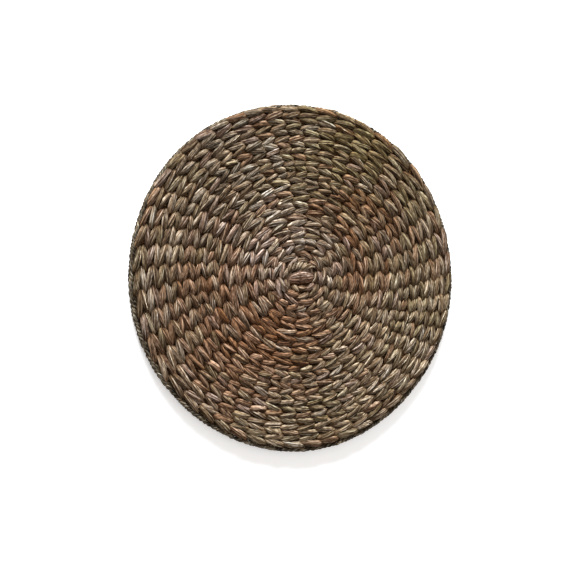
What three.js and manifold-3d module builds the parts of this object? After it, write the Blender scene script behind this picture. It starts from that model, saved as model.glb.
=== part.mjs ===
// A round table charger twined from twisted cattail leaf, lying on a table.
// Millimetres, +Z up, and the origin is the middle of the underside.
//
// The mat is one woven piece: weft rounds circle the heart, where the spokes cross, and each
// round sets one plump stitch over every spoke. Spokes are added as the rounds grow longer.
// The leaves that tie the crossing lie across the heart. Two fine cords, one on the other, are
// worked round the edge as a border, tucked under the last round.

import * as THREE from "three";
import { mergeVertices } from "three/addons/utils/BufferGeometryUtils.js";
import Module from "manifold-3d";

// Driving dimensions

const CHARGER_RADIUS = 179;
const THICKNESS = 12;
const PIECE_GAP = 0.3;
const TURN = 2 * Math.PI;

// The weave
const ROUNDS = 27;
const HEART_EDGE_RADIUS = 11; // mean radius at which the first round starts
const HEART_OVAL = 4.4; // how much longer than its mean radius the heart is along X
const OVAL_FADE = 12; // the rounds turn circular over about this distance
const FIRST_SPOKES = 9;
const SPOKES_UNEVEN = THREE.MathUtils.degToRad(4);
const SWIRL_PER_ROUND = THREE.MathUtils.degToRad(0.5);
const STITCH_DIP = 2.4; // a round sinks by this between two spokes
const ROUND_GROOVE = 2.1; // the groove between two rounds, measured over a spoke
const GROOVE_DIP = 1.2; // the same groove sinks by this much more between two spokes
const EDGE_ROUNDING = 2.2; // height over which the outermost round turns down
const EDGE_DIP = 0.7; // the edge of that round sinks by this between two spokes
const UNDERSIDE_INSET = 1.8; // the flat underside stops short of the side wall by this
const WEAVE_SHIFT = 2.2; // the rounds near the rim lie this much towards +Y

// Spokes are added where the gaps between them have grown widest.
const ADDED_SPOKES = [
  { round: 4, added: 9 },
  { round: 8, added: 3 },
  { round: 10, added: 4 },
  { round: 12, added: 4 },
  { round: 14, added: 6 },
  { round: 15, added: 5 },
  { round: 16, added: 4 },
  { round: 18, added: 3 },
  { round: 20, added: 3 },
];
const SPLIT_SPREAD = 0.35; // how strongly the choice of spokes is spread round the mat
const GOLDEN_SHARE = 0.618;
const SPLIT_SHARE = 0.22; // a new spoke and its parent start this share of a gap apart
const EVENING_SHARE = 0.3; // how far each round evens out the spokes

// The rim isn't a true circle: each row is a number of swells round it and where one peaks.
const RIM_SWELLS = [
  { lobes: 1, share: 0.011, peak: THREE.MathUtils.degToRad(151) },
  { lobes: 2, share: 0.008, peak: THREE.MathUtils.degToRad(169) },
  { lobes: 3, share: 0.0026, peak: THREE.MathUtils.degToRad(35) },
  { lobes: 5, share: 0.0028, peak: THREE.MathUtils.degToRad(60) },
];

// The border: two cords, one on the other, between the mat's side wall and the outline
const BORDER_REACH = 6.6; // from the last round's crest to the outline
const BORDER_TUCK = 1.7; // the border starts this far beyond that crest, under the round
const BORDER_MIDDLE = 5;
const BORDER_HEIGHT = 7.2;
const BORDER_WAIST = 0.3; // depth of the groove between the cords, as a share
const BORDER_WAIST_HEIGHT = 0.4; // how much of the height the groove takes
const BORDER_STEPS = 200;
const BORDER_SIDES = 12;
const BORDER_SCALLOPS = 50; // the border swells a little between two stitches
const BORDER_SCALLOP = 0.35;

// The leaves laid across the heart
const HEART_HALF_LENGTH = 15;
const HEART_HALF_WIDTH = 6.2;
const HEART_FLOOR = 8.2; // height of the pocket's floor in the mat
const HEART_SIDE_HEIGHT = 1.1;
const HEART_LEAVES = 4;
const HEART_LEAF_GROOVE = 0.55;
const HEART_STATIONS = 14;
const HEART_POINTS_ACROSS = 13;
const POCKET_SEGMENTS = 40;

const LAST_CREST = CHARGER_RADIUS - BORDER_REACH;
const ROUND_PITCH = (LAST_CREST - HEART_EDGE_RADIUS) / (ROUNDS - 0.5);
const EDGE_RADIUS = LAST_CREST + ROUND_PITCH / 2;
const WALL_RADIUS = LAST_CREST + BORDER_TUCK - PIECE_GAP;
const WALL_TOP = BORDER_MIDDLE + BORDER_HEIGHT / 2 + PIECE_GAP;
const WALL_BOTTOM = 2.6;

// How far the rim stands out of round at an angle, as a share of the radius.
function outOfRound(angle) {
  return RIM_SWELLS.reduce(
    (sum, swell) => sum + swell.share * Math.cos(swell.lobes * (angle - swell.peak)),
    0,
  );
}

// The radius of a ring at an angle: oval near the heart, out of round and shifted near the rim.
function ringRadius(meanRadius, angle) {
  const oval =
    HEART_OVAL * Math.exp((HEART_EDGE_RADIUS - meanRadius) / OVAL_FADE) * Math.cos(2 * angle);
  const nearRim = (meanRadius / EDGE_RADIUS) ** 2;
  const uneven = meanRadius * outOfRound(angle) + WEAVE_SHIFT * Math.sin(angle);
  return meanRadius + oval + uneven * nearRim;
}

function polar(radius, angle, height) {
  return new THREE.Vector3(radius * Math.cos(angle), radius * Math.sin(angle), height);
}

function ringPoint(meanRadius, angle, height) {
  return polar(ringRadius(meanRadius, angle), angle, height);
}

function gapAfter(angles, k) {
  const last = angles.length - 1;
  return k < last ? angles[k + 1] - angles[k] : angles[0] + TURN - angles[last];
}

function gapBefore(angles, k) {
  return gapAfter(angles, (k + angles.length - 1) % angles.length);
}

// Splits the spokes with the most room beside them in two, spread round the mat.
function splitWidest(angles, added) {
  const room = angles.map((_, k) => {
    const turnOfChoice = 1 + SPLIT_SPREAD * ((k * GOLDEN_SHARE) % 1);
    return turnOfChoice * (gapBefore(angles, k) + gapAfter(angles, k));
  });
  const widest = angles.map((_, k) => k).sort((a, b) => room[b] - room[a]);
  const split = new Set(widest.slice(0, added));
  return angles.flatMap((angle, k) =>
    split.has(k)
      ? [
          angle - SPLIT_SHARE * gapBefore(angles, k),
          angle + SPLIT_SHARE * gapAfter(angles, k),
        ]
      : [angle],
  );
}

// Moves each spoke towards the middle of its two neighbours.
function evenOut(angles) {
  return angles.map(
    (angle, k) => angle + (EVENING_SHARE * (gapAfter(angles, k) - gapBefore(angles, k))) / 2,
  );
}

// The spokes' angles at each round, from the heart to the rim.
function spokesByRound() {
  let angles = Array.from(
    { length: FIRST_SPOKES },
    (_, k) => (TURN * k) / FIRST_SPOKES + SPOKES_UNEVEN * Math.sin(2.6 * k + 1),
  );
  return Array.from({ length: ROUNDS }, (_, index) => {
    const row = ADDED_SPOKES.find((each) => each.round === index + 1);
    if (row) angles = splitWidest(angles, row.added);
    angles = evenOut(angles).map((angle) => angle + SWIRL_PER_ROUND);
    return angles;
  });
}

// A ring with a point over each spoke and one between each two.
function wovenRing(spokes, meanRadius, overSpoke, betweenSpokes) {
  const points = spokes.flatMap((angle, k) => {
    const between = angle + gapAfter(spokes, k) / 2;
    return [
      { angle, point: ringPoint(meanRadius, angle, overSpoke) },
      { angle: between, point: ringPoint(meanRadius, between, betweenSpokes) },
    ];
  });
  return points;
}

// Gathers points and triangles, and closes them into a geometry.
class Skin {
  constructor() {
    this.points = [];
    this.triangles = [];
  }

  add(point) {
    return this.points.push(point) - 1;
  }

  addRing(ring) {
    return ring.map(({ angle, point }) => ({ angle, index: this.add(point) }));
  }

  // Joins two rings, the second one further along the skin, whatever their numbers of points.
  zip(inner, outer) {
    const at = (ring, k) => ring[k % ring.length].angle + TURN * Math.floor(k / ring.length);
    const index = (ring, k) => ring[k % ring.length].index;
    let i = 0;
    let j = 0;
    while (i < inner.length || j < outer.length) {
      const turnInner =
        j >= outer.length || (i < inner.length && at(inner, i + 1) < at(outer, j + 1));
      if (turnInner) {
        this.triangles.push(index(inner, i), index(outer, j), index(inner, i + 1));
        i += 1;
      } else {
        this.triangles.push(index(inner, i), index(outer, j), index(outer, j + 1));
        j += 1;
      }
    }
  }

  openFan(point, ring) {
    const centre = this.add(point);
    ring.forEach(({ index }, k) =>
      this.triangles.push(centre, index, ring[(k + 1) % ring.length].index),
    );
  }

  closeFan(ring, point) {
    const centre = this.add(point);
    ring.forEach(({ index }, k) =>
      this.triangles.push(index, centre, ring[(k + 1) % ring.length].index),
    );
  }

  geometry() {
    const positions = new Float32Array(this.points.flatMap((point) => point.toArray()));
    const made = new THREE.BufferGeometry();
    made.setAttribute("position", new THREE.BufferAttribute(positions, 3));
    made.setIndex(this.triangles);
    made.computeVertexNormals();
    return made;
  }
}

// The twined mat: a crest ring and a groove ring for each round, an edge that overhangs the
// border, a side wall and a flat base.
function wovenDiscGeometry() {
  const skin = new Skin();
  const spokes = spokesByRound();
  const heartHeight = THICKNESS - ROUND_GROOVE;
  let last = skin.addRing(
    wovenRing(spokes[0], HEART_EDGE_RADIUS, heartHeight, heartHeight - GROOVE_DIP),
  );
  skin.openFan(new THREE.Vector3(0, 0, heartHeight), last);
  const join = (ring) => {
    const added = skin.addRing(ring);
    skin.zip(last, added);
    last = added;
  };
  spokes.forEach((angles, index) => {
    const crestRadius = HEART_EDGE_RADIUS + (index + 0.5) * ROUND_PITCH;
    join(wovenRing(angles, crestRadius, THICKNESS, THICKNESS - STITCH_DIP));
    if (index < ROUNDS - 1) {
      const grooveRadius = crestRadius + ROUND_PITCH / 2;
      const groove = THICKNESS - ROUND_GROOVE;
      join(wovenRing(angles, grooveRadius, groove, groove - GROOVE_DIP));
    }
  });
  const rim = spokes[ROUNDS - 1];
  const shoulder = THICKNESS - EDGE_ROUNDING;
  join(wovenRing(rim, EDGE_RADIUS, shoulder, shoulder - EDGE_DIP));
  join(wovenRing(rim, WALL_RADIUS, WALL_TOP, WALL_TOP));
  join(wovenRing(rim, WALL_RADIUS, WALL_BOTTOM, WALL_BOTTOM));
  join(wovenRing(rim, WALL_RADIUS - UNDERSIDE_INSET, 0, 0));
  skin.closeFan(last, new THREE.Vector3(0, 0, 0));
  return skin.geometry();
}

// The border: its section has two lobes, one for each cord, and fills the room that the wall
// and the outline leave.
function borderGeometry() {
  const skin = new Skin();
  const rings = Array.from({ length: BORDER_SIDES }, (_, side) => {
    const round = (TURN * side) / BORDER_SIDES;
    const groove = BORDER_WAIST * Math.exp(-((Math.sin(round) / BORDER_WAIST_HEIGHT) ** 2));
    const height = BORDER_MIDDLE + (BORDER_HEIGHT / 2) * Math.sin(round);
    const ring = Array.from({ length: BORDER_STEPS }, (_, step) => {
      const angle = (TURN * step) / BORDER_STEPS;
      const scallop = BORDER_SCALLOP * Math.cos(BORDER_SCALLOPS * angle);
      const inner = ringRadius(WALL_RADIUS, angle) + PIECE_GAP;
      const outer = CHARGER_RADIUS * (1 + outOfRound(angle)) + scallop;
      const reach = ((outer - inner) / 2) * (1 - groove) * Math.cos(round);
      return { angle, point: polar((inner + outer) / 2 + reach, angle, height) };
    });
    return skin.addRing(ring);
  });
  rings.forEach((ring, side) => skin.zip(rings[(side + 1) % BORDER_SIDES], ring));
  return skin.geometry();
}

// The heart: leaves side by side, arched over the crossing, with a flat underside.
function heartGeometry() {
  const skin = new Skin();
  const floor = HEART_FLOOR + PIECE_GAP;
  const arch = THICKNESS - floor - HEART_SIDE_HEIGHT;
  const sections = Array.from({ length: HEART_STATIONS }, (_, station) => {
    const along = (2 * (station + 0.5)) / HEART_STATIONS - 1;
    const halfWidth = HEART_HALF_WIDTH * Math.sqrt(1 - along ** 2);
    const x = HEART_HALF_LENGTH * along;
    const top = Array.from({ length: HEART_POINTS_ACROSS }, (_, k) => {
      const across = (2 * k) / (HEART_POINTS_ACROSS - 1) - 1;
      const dome = Math.sqrt(1 - along ** 2) * Math.sqrt(1 - 0.9 * across ** 2);
      const groove = (HEART_LEAF_GROOVE * (1 + Math.cos(Math.PI * HEART_LEAVES * across))) / 2;
      const height = floor + HEART_SIDE_HEIGHT + (arch - groove) * dome;
      return new THREE.Vector3(x, halfWidth * across, height);
    });
    const base = [halfWidth, -halfWidth].map((y) => new THREE.Vector3(x, y, floor));
    return [...base, ...top].map((point) => skin.add(point));
  });
  const count = sections[0].length;
  sections.slice(1).forEach((next, station) => {
    const here = sections[station];
    for (let k = 0; k < count; k += 1) {
      const after = (k + 1) % count;
      skin.triangles.push(here[k], next[k], next[after], here[k], next[after], here[after]);
    }
  });
  const capEnd = (section, flip) => {
    for (let k = 1; k < count - 1; k += 1) {
      const corner = [section[0], section[k], section[k + 1]];
      skin.triangles.push(...(flip ? corner.reverse() : corner));
    }
  };
  capEnd(sections[0], false);
  capEnd(sections[HEART_STATIONS - 1], true);
  return skin.geometry();
}

// The oval pocket that the heart's leaves lie in.
function heartPocketGeometry() {
  const outline = new THREE.Shape();
  outline.absellipse(
    0,
    0,
    HEART_HALF_LENGTH + PIECE_GAP,
    HEART_HALF_WIDTH + PIECE_GAP,
    0,
    TURN,
  );
  const pocket = new THREE.ExtrudeGeometry(outline, {
    depth: THICKNESS,
    bevelEnabled: false,
    curveSegments: POCKET_SEGMENTS,
  });
  return pocket.translate(0, 0, HEART_FLOOR);
}

const wasm = await Module();
wasm.setup();

function toSolid(geometry) {
  const bare = geometry.clone();
  bare.deleteAttribute("normal");
  bare.deleteAttribute("uv");
  const merged = mergeVertices(bare, 1e-4);
  return new wasm.Manifold(
    new wasm.Mesh({
      numProp: 3,
      vertProperties: merged.attributes.position.array,
      triVerts: new Uint32Array(merged.index.array),
    }),
  );
}

function toGeometry(solid) {
  const mesh = solid.getMesh();
  const made = new THREE.BufferGeometry();
  made.setAttribute("position", new THREE.BufferAttribute(mesh.vertProperties, 3));
  made.setIndex(new THREE.BufferAttribute(mesh.triVerts, 1));
  made.computeVertexNormals();
  return made;
}

const leaf = new THREE.MeshStandardMaterial({ color: 0x8c7d68, roughness: 0.72, metalness: 0 });
const heartLeaf = new THREE.MeshStandardMaterial({
  color: 0x9a8170,
  roughness: 0.68,
  metalness: 0,
});
const borderLeaf = new THREE.MeshStandardMaterial({
  color: 0x74705d,
  roughness: 0.8,
  metalness: 0,
});

function piece(name, geometry, material) {
  const mesh = new THREE.Mesh(geometry, material);
  mesh.name = name;
  return mesh;
}

const disc = toSolid(wovenDiscGeometry()).subtract(toSolid(heartPocketGeometry()));
const charger = new THREE.Group();
charger.add(
  piece("woven_disc", toGeometry(disc), leaf),
  piece("heart_leaves", heartGeometry(), heartLeaf),
  piece("rim_border", borderGeometry(), borderLeaf),
);

// The uneven rim is centred, so the origin is the middle of the underside.
const middle = new THREE.Box3().setFromObject(charger).getCenter(new THREE.Vector3());
charger.position.set(-middle.x, -middle.y, 0);

export default charger;
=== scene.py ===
"""A round table charger twined from twisted cattail leaf, dressed for its picture.

The mat's stitches, spokes, heart, border and loose fibres are each a class that makes its own
mesh and gives it its finish. Sizes are in metres, and the plan of the weave is the one that the
solids follow.
"""

import logging
import math
import random
from dataclasses import dataclass, field
from enum import Enum
from typing import Iterable, Sequence

import bpy
import numpy as np
from mathutils import Matrix, Vector


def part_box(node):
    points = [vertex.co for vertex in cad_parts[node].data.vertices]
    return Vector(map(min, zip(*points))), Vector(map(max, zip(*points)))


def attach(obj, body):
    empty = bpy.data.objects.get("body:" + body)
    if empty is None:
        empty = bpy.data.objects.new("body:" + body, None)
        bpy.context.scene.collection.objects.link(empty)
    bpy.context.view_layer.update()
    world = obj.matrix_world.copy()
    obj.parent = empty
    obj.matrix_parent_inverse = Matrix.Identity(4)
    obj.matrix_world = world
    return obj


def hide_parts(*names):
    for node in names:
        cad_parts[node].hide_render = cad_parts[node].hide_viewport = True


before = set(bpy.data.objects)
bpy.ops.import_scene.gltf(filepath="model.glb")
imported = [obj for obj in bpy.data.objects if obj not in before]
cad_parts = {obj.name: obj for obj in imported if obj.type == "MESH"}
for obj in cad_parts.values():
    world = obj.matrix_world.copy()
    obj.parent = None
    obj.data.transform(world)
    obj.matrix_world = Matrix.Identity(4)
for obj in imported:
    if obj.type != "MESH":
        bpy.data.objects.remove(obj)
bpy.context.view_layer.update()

log = logging.getLogger("charger")

MM = 0.001
TURN = 2 * math.pi
BODY = "root"

RUN = "leaf_run"
TONE = "leaf_tone"
FOLD_SHADE = "leaf_fold_shade"

Colour = tuple[float, float, float]


def linear(colour: Colour) -> Colour:
    """Turns a colour as seen on a screen into the linear values that shaders use."""
    return tuple(((c + 0.055) / 1.055) ** 2.4 if c > 0.04045 else c / 12.92 for c in colour)


class Field:
    """A value that varies over a node tree's geometry or surface, for plain arithmetic."""

    def __init__(self, tree: bpy.types.NodeTree, source: bpy.types.NodeSocket) -> None:
        """Wraps an output socket.

        Args:
            tree: The node tree that the socket is in.
            source: The output socket that gives the value.
        """
        self.tree = tree
        self.source = source

    def math(self, operation: str, *others: "Field | float") -> "Field":
        """Adds a Math node.

        Args:
            operation: The node's operation, as Blender names it.
            others: The second and third operands, where it takes them.

        Returns:
            The node's value.
        """
        node = self.tree.nodes.new("ShaderNodeMath")
        node.operation = operation
        for socket, value in zip(node.inputs, (self, *others)):
            feed(self.tree, socket, value)
        return Field(self.tree, node.outputs[0])

    def __add__(self, other: "Field | float") -> "Field":
        """Sum."""
        return self.math("ADD", other)

    def __sub__(self, other: "Field | float") -> "Field":
        """Difference."""
        return self.math("SUBTRACT", other)

    def __mul__(self, other: "Field | float") -> "Field":
        """Product."""
        return self.math("MULTIPLY", other)

    def __truediv__(self, other: "Field | float") -> "Field":
        """Quotient."""
        return self.math("DIVIDE", other)

    def __pow__(self, other: "Field | float") -> "Field":
        """Power."""
        return self.math("POWER", other)

    def sin(self) -> "Field":
        """Sine of an angle in radians."""
        return self.math("SINE")

    def cos(self) -> "Field":
        """Cosine of an angle in radians."""
        return self.math("COSINE")

    def size(self) -> "Field":
        """Absolute value."""
        return self.math("ABSOLUTE")

    def at_least(self, other: "Field | float") -> "Field":
        """The larger of the two."""
        return self.math("MAXIMUM", other)

    def at_most(self, other: "Field | float") -> "Field":
        """The smaller of the two."""
        return self.math("MINIMUM", other)

    def rest(self) -> "Field":
        """One minus the value."""
        return self * -1.0 + 1.0

    def sharpened(self, contrast: "Field | float") -> "Field":
        """Noise stretched about its middle by the contrast, kept between nought and one."""
        return ((self - 0.5) * contrast + 0.5).at_least(0.0).at_most(1.0)


def feed(tree: bpy.types.NodeTree, socket: bpy.types.NodeSocket, value: object) -> None:
    """Gives an input socket a constant, or links it to a field or an output socket.

    Args:
        tree: The node tree that the socket is in.
        socket: The input socket.
        value: The constant, the field or the output socket.
    """
    if isinstance(value, Field):
        tree.links.new(value.source, socket)
    elif isinstance(value, bpy.types.NodeSocket):
        tree.links.new(value, socket)
    else:
        socket.default_value = value


class NodeSheet:
    """Short ways to place, set and join the nodes of one tree."""

    def __init__(self, tree: bpy.types.NodeTree) -> None:
        """Keeps the tree that the nodes go into."""
        self.tree = tree

    def place(
        self, kind: str, inputs: dict[str | int, object] | None = None, **settings: object
    ) -> bpy.types.Node:
        """Adds a node.

        Args:
            kind: The node's type, as Blender names it.
            inputs: Values, fields or sockets for its inputs, by name or number.
            settings: Values for the node's own properties.

        Returns:
            The node.
        """
        node = self.tree.nodes.new(kind)
        for name, value in settings.items():
            setattr(node, name, value)
        for key, value in (inputs or {}).items():
            feed(self.tree, node.inputs[key], value)
        return node

    def value(self, node: bpy.types.Node, output: str | int = 0) -> Field:
        """The field that a node's output gives."""
        return Field(self.tree, node.outputs[output])

    def attribute(self, name: str, data_type: str = "FLOAT") -> Field:
        """A named attribute's value in a geometry tree."""
        node = self.place("GeometryNodeInputNamedAttribute", {"Name": name}, data_type=data_type)
        return self.value(node, "Attribute")

    def parts(self, vector: Field) -> tuple[Field, Field, Field]:
        """A vector's three components."""
        node = self.place("ShaderNodeSeparateXYZ", {0: vector})
        return tuple(self.value(node, axis) for axis in range(3))

    def vector(self, x: Field | float, y: Field | float, z: Field | float) -> Field:
        """A vector made from three components."""
        return self.value(self.place("ShaderNodeCombineXYZ", {0: x, 1: y, 2: z}))

    def store(
        self, geometry: bpy.types.NodeSocket, name: str, value: Field, data_type: str = "FLOAT"
    ) -> bpy.types.NodeSocket:
        """Stores a field on the points of a geometry.

        Args:
            geometry: The geometry's socket.
            name: The attribute's name.
            value: The field.
            data_type: The attribute's type, as Blender names it.

        Returns:
            The socket of the geometry with the attribute.
        """
        node = self.place(
            "GeometryNodeStoreNamedAttribute",
            {"Geometry": geometry, "Name": name},
            data_type=data_type,
            domain="POINT",
        )
        feed(self.tree, node.inputs["Value"], value)
        return node.outputs["Geometry"]

    def mix(self, blend: str, factor: object, first: object, second: object) -> Field:
        """Blends two colours in a shader tree.

        Args:
            blend: How they are blended, as Blender names it.
            factor: How much of the blend there is.
            first: The colour that is there.
            second: The colour that is blended in.

        Returns:
            The blended colour.
        """
        node = self.place("ShaderNodeMix", data_type="RGBA", blend_type=blend)
        sockets = {socket.identifier: socket for socket in node.inputs}
        named = (("Factor_Float", factor), ("A_Color", first), ("B_Color", second))
        for key, value in named:
            feed(self.tree, sockets[key], value)
        return Field(self.tree, {s.identifier: s for s in node.outputs}["Result_Color"])


def geometry_tree(name: str, inputs: Sequence[tuple[str, str]]) -> bpy.types.NodeTree:
    """Starts a Geometry Nodes tree.

    Args:
        name: The tree's name.
        inputs: Names and socket types of its inputs, after the geometry.

    Returns:
        The tree, with its interface made.
    """
    tree = bpy.data.node_groups.new(name, "GeometryNodeTree")
    tree.interface.new_socket("Geometry", in_out="INPUT", socket_type="NodeSocketGeometry")
    tree.interface.new_socket("Geometry", in_out="OUTPUT", socket_type="NodeSocketGeometry")
    for label, kind in inputs:
        tree.interface.new_socket(label, in_out="INPUT", socket_type=kind)
    return tree


def close_tree(
    sheet: NodeSheet, geometry: bpy.types.NodeSocket, finish: bpy.types.NodeSocket
) -> None:
    """Ends a tree: realizes what is instanced, shades it smooth and sets its material.

    Args:
        sheet: The tree's sheet.
        geometry: The socket of the finished geometry.
        finish: The socket that gives the material.
    """
    real = sheet.place("GeometryNodeRealizeInstances", {"Geometry": geometry})
    smooth = sheet.place("GeometryNodeSetShadeSmooth", {"Geometry": real.outputs[0]})
    dressed = sheet.place(
        "GeometryNodeSetMaterial", {"Geometry": smooth.outputs[0], "Material": finish}
    )
    sheet.place("NodeGroupOutput", {"Geometry": dressed.outputs["Geometry"]})


def grow(
    name: str, seed_mesh: bpy.types.Mesh, tree: bpy.types.NodeTree, values: dict[str, object]
) -> bpy.types.Object:
    """Runs a tree on a mesh and keeps the result as a plain object.

    Args:
        name: The new object's name.
        seed_mesh: The mesh that the tree starts from.
        tree: The Geometry Nodes tree.
        values: The tree's inputs by name.

    Returns:
        The finished object, with no modifier, at the origin.
    """
    holder = bpy.data.objects.new(name + "_seed", seed_mesh)
    bpy.context.scene.collection.objects.link(holder)
    modifier = holder.modifiers.new("grow", "NODES")
    modifier.node_group = tree
    for item in tree.interface.items_tree:
        if item.in_out == "INPUT" and item.name in values:
            modifier[item.identifier] = values[item.name]
    bpy.context.view_layer.update()
    depsgraph = bpy.context.evaluated_depsgraph_get()
    mesh = bpy.data.meshes.new_from_object(
        holder.evaluated_get(depsgraph), preserve_all_data_layers=True, depsgraph=depsgraph
    )
    bpy.data.objects.remove(holder)
    mesh.name = name
    return show(name, mesh)


def show(name: str, mesh: bpy.types.Mesh) -> bpy.types.Object:
    """Links a mesh to the scene as an object at the origin.

    Args:
        name: The object's name.
        mesh: Its mesh.

    Returns:
        The object.
    """
    piece = bpy.data.objects.new(name, mesh)
    bpy.context.scene.collection.objects.link(piece)
    return piece


def fit_out(
    piece: bpy.types.Object, replaced: Iterable[str] = ()
) -> bpy.types.Object:
    """Tells the frame what a finished piece rides on, and hides the CAD nodes that it stands for.

    Args:
        piece: The finished object.
        replaced: CAD nodes that the piece stands for.

    Returns:
        The same object.
    """
    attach(piece, BODY)
    for node in replaced:
        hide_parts(node)
    triangles = sum(len(face.vertices) - 2 for face in piece.data.polygons)
    log.info("%s: %d triangles", piece.name, triangles)
    return piece


@dataclass(frozen=True)
class Range:
    """The range that a handmade size falls in.

    One that is named a share multiplies a size, and one that is named a stray is added to it.
    """

    low: float
    high: float

    def pick(self, chance: random.Random) -> float:
        """Draws one value from the range."""
        return chance.uniform(self.low, self.high)


def scaled(tone: Colour, lightness: float) -> Colour:
    """A screen colour turned linear and made lighter or darker."""
    return tuple(lightness * c for c in linear(tone))


def tapered(along: np.ndarray, end: float, power: float) -> np.ndarray:
    """Slims a leaf towards its ends.

    Args:
        along: How far along the leaf each station is, from -1 to 1.
        end: The share of its full size that it has at its ends.
        power: How long it keeps its full size.

    Returns:
        The share of its full size at each station.
    """
    return end + (1 - end) * np.sqrt(np.maximum(1 - np.abs(along) ** power, 0.0))


class LeafTone(Enum):
    """Colours that dried cattail leaf takes, as seen on a screen."""

    TAUPE = (0.563, 0.517, 0.458)
    OLIVE = (0.520, 0.502, 0.408)
    STRAW = (0.642, 0.604, 0.530)
    ASH = (0.592, 0.584, 0.562)
    RUST = (0.538, 0.412, 0.322)
    LILAC = (0.568, 0.506, 0.505)


@dataclass(frozen=True)
class TonePatch:
    """A part of the mat where one colour of leaf was worked more.

    The angle is in degrees, and the radius and the spread are shares of the mat's radius. The
    light says how much lighter or darker than the rest the leaf is there.
    """

    tone: LeafTone
    angle: float
    radius: float
    spread: float
    weight: float
    light: float = 1.0

    def strength(self, place: Vector) -> float:
        """Finds how much of the patch there is at a place.

        Args:
            place: The place, as a share of the mat's radius.

        Returns:
            1 in the middle of the patch, and less the further off the place is.
        """
        turn = math.radians(self.angle)
        middle = Vector((math.cos(turn), math.sin(turn))) * self.radius
        return math.exp(-(((place - middle).length / self.spread) ** 2))


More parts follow.
